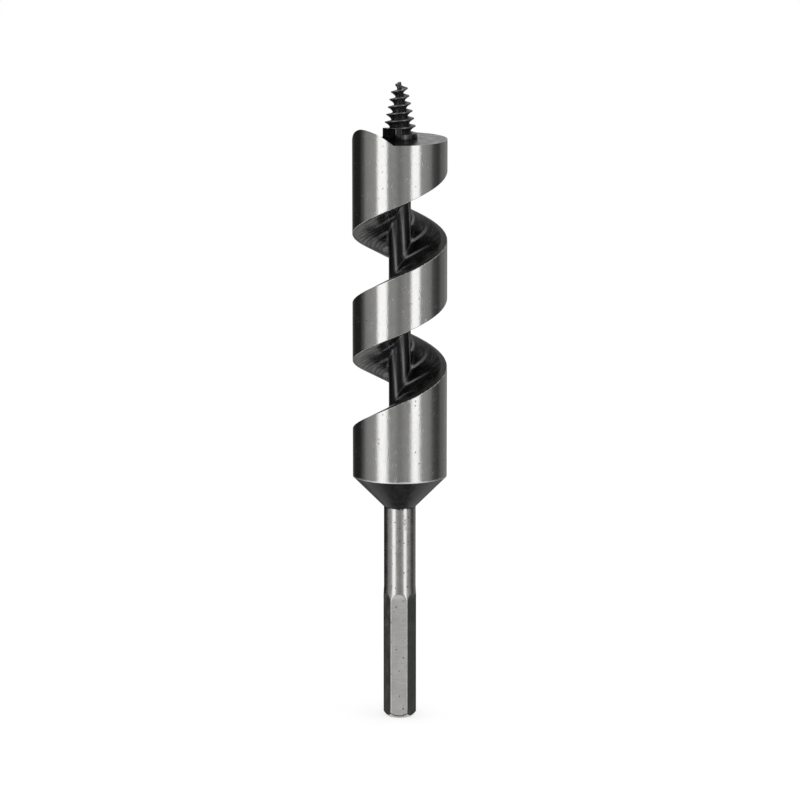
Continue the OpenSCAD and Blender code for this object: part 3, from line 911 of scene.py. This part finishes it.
floor_bm = bmesh.new()
bmesh.ops.create_grid(floor_bm, x_segments=1, y_segments=1, size=FLOOR_HALF)
floor_mesh = bpy.data.meshes.new("floor")
floor_bm.to_mesh(floor_mesh)
floor_bm.free()
floor = bpy.data.objects.new("floor", floor_mesh)
bpy.context.scene.collection.objects.link(floor)
floor.visible_glossy = False
pale = bpy.data.materials.new("pale_floor")
pale.use_nodes = True
tree = pale.node_tree
tree.nodes.clear()
paper = place(tree, "ShaderNodeBsdfDiffuse", Color=PAPER)
glow = place(tree, "ShaderNodeEmission", Color=WHITE, Strength=1)
camera_ray = place(tree, "ShaderNodeLightPath").outputs["Is Camera Ray"]
mix = place(tree, "ShaderNodeMixShader")
glow_share = times(tree, camera_ray, FLOOR_GLOW)
for socket, term in zip(mix.inputs, (glow_share, paper.outputs[0], glow.outputs[0])):
    linked(tree, socket, term)
place(tree, "ShaderNodeOutputMaterial", Surface=mix.outputs[0])
floor_mesh.materials.append(pale)

world = bpy.data.worlds.new("studio")
bpy.context.scene.world = world
world.use_nodes = True
world.cycles.sampling_method = "NONE"
tree = world.node_tree
tree.nodes.clear()
sight = place(tree, "ShaderNodeTexCoord").outputs["Generated"]
toward = place(tree, "ShaderNodeSeparateXYZ", Vector=sight).outputs
azimuth = maths(tree, "ARCTAN2", toward[0], times(tree, toward[1], -1))
room = place(tree, "ShaderNodeValToRGB", Fac=scaled(tree, azimuth, 1 / FULL_TURN, 0.5))
stops = room.color_ramp.elements
while len(stops) < len(ROOM_LIGHT):
    stops.new(0.5)
for stop, (angle, _) in zip(stops, ROOM_LIGHT):
    stop.position = angle / 360 + 0.5
for stop, (_, light) in zip(stops, ROOM_LIGHT):
    stop.color = (light, light, light, 1)
ceiling = ranged(tree, toward[2], *CEILING_FADE)
ground = ranged(tree, toward[2], *GROUND_FADE)
below = ranged(tree, toward[2], *BELOW_FADE)
studio = blended(tree, ceiling, room.outputs[0], CEILING_GREY)
studio = blended(tree, times(tree, ground, 0.7), studio, GROUND_GREY)
studio = blended(tree, below, studio, BELOW_GREY)
rays = place(tree, "ShaderNodeLightPath").outputs
fill = blended(tree, rays["Is Diffuse Ray"], studio, FILL_LIGHT)
seen = maths(tree, "MAXIMUM", rays["Is Camera Ray"], rays["Is Transmission Ray"])
sky = place(tree, "ShaderNodeBackground", Color=blended(tree, seen, fill, WHITE))
place(tree, "ShaderNodeOutputWorld", Surface=sky.outputs[0])

lamp_data = bpy.data.lights.new("overhead", "AREA")
lamp_data.shape, lamp_data.size, lamp_data.energy = "DISK", 0.5, 1.0
lamp = bpy.data.objects.new("overhead", lamp_data)
lamp.location = LAMP_PLACE
lamp.rotation_euler = (LAMP_AIM - LAMP_PLACE).to_track_quat("-Z", "Y").to_euler()
lamp.visible_glossy = False
lamp.visible_camera = False
bpy.context.scene.collection.objects.link(lamp)

camera_data = bpy.data.cameras.new("camera")
camera_data.lens, camera_data.sensor_width = CAMERA_LENS, SENSOR_W
camera_data.clip_start, camera_data.clip_end = 0.05, 50
camera = bpy.data.objects.new("camera", camera_data)
camera.location = CAMERA_PLACE
camera.rotation_euler = (CAMERA_PITCH, 0, 0)
bpy.context.scene.collection.objects.link(camera)
bpy.context.scene.camera = camera
bpy.context.scene.view_settings.view_transform = "Standard"
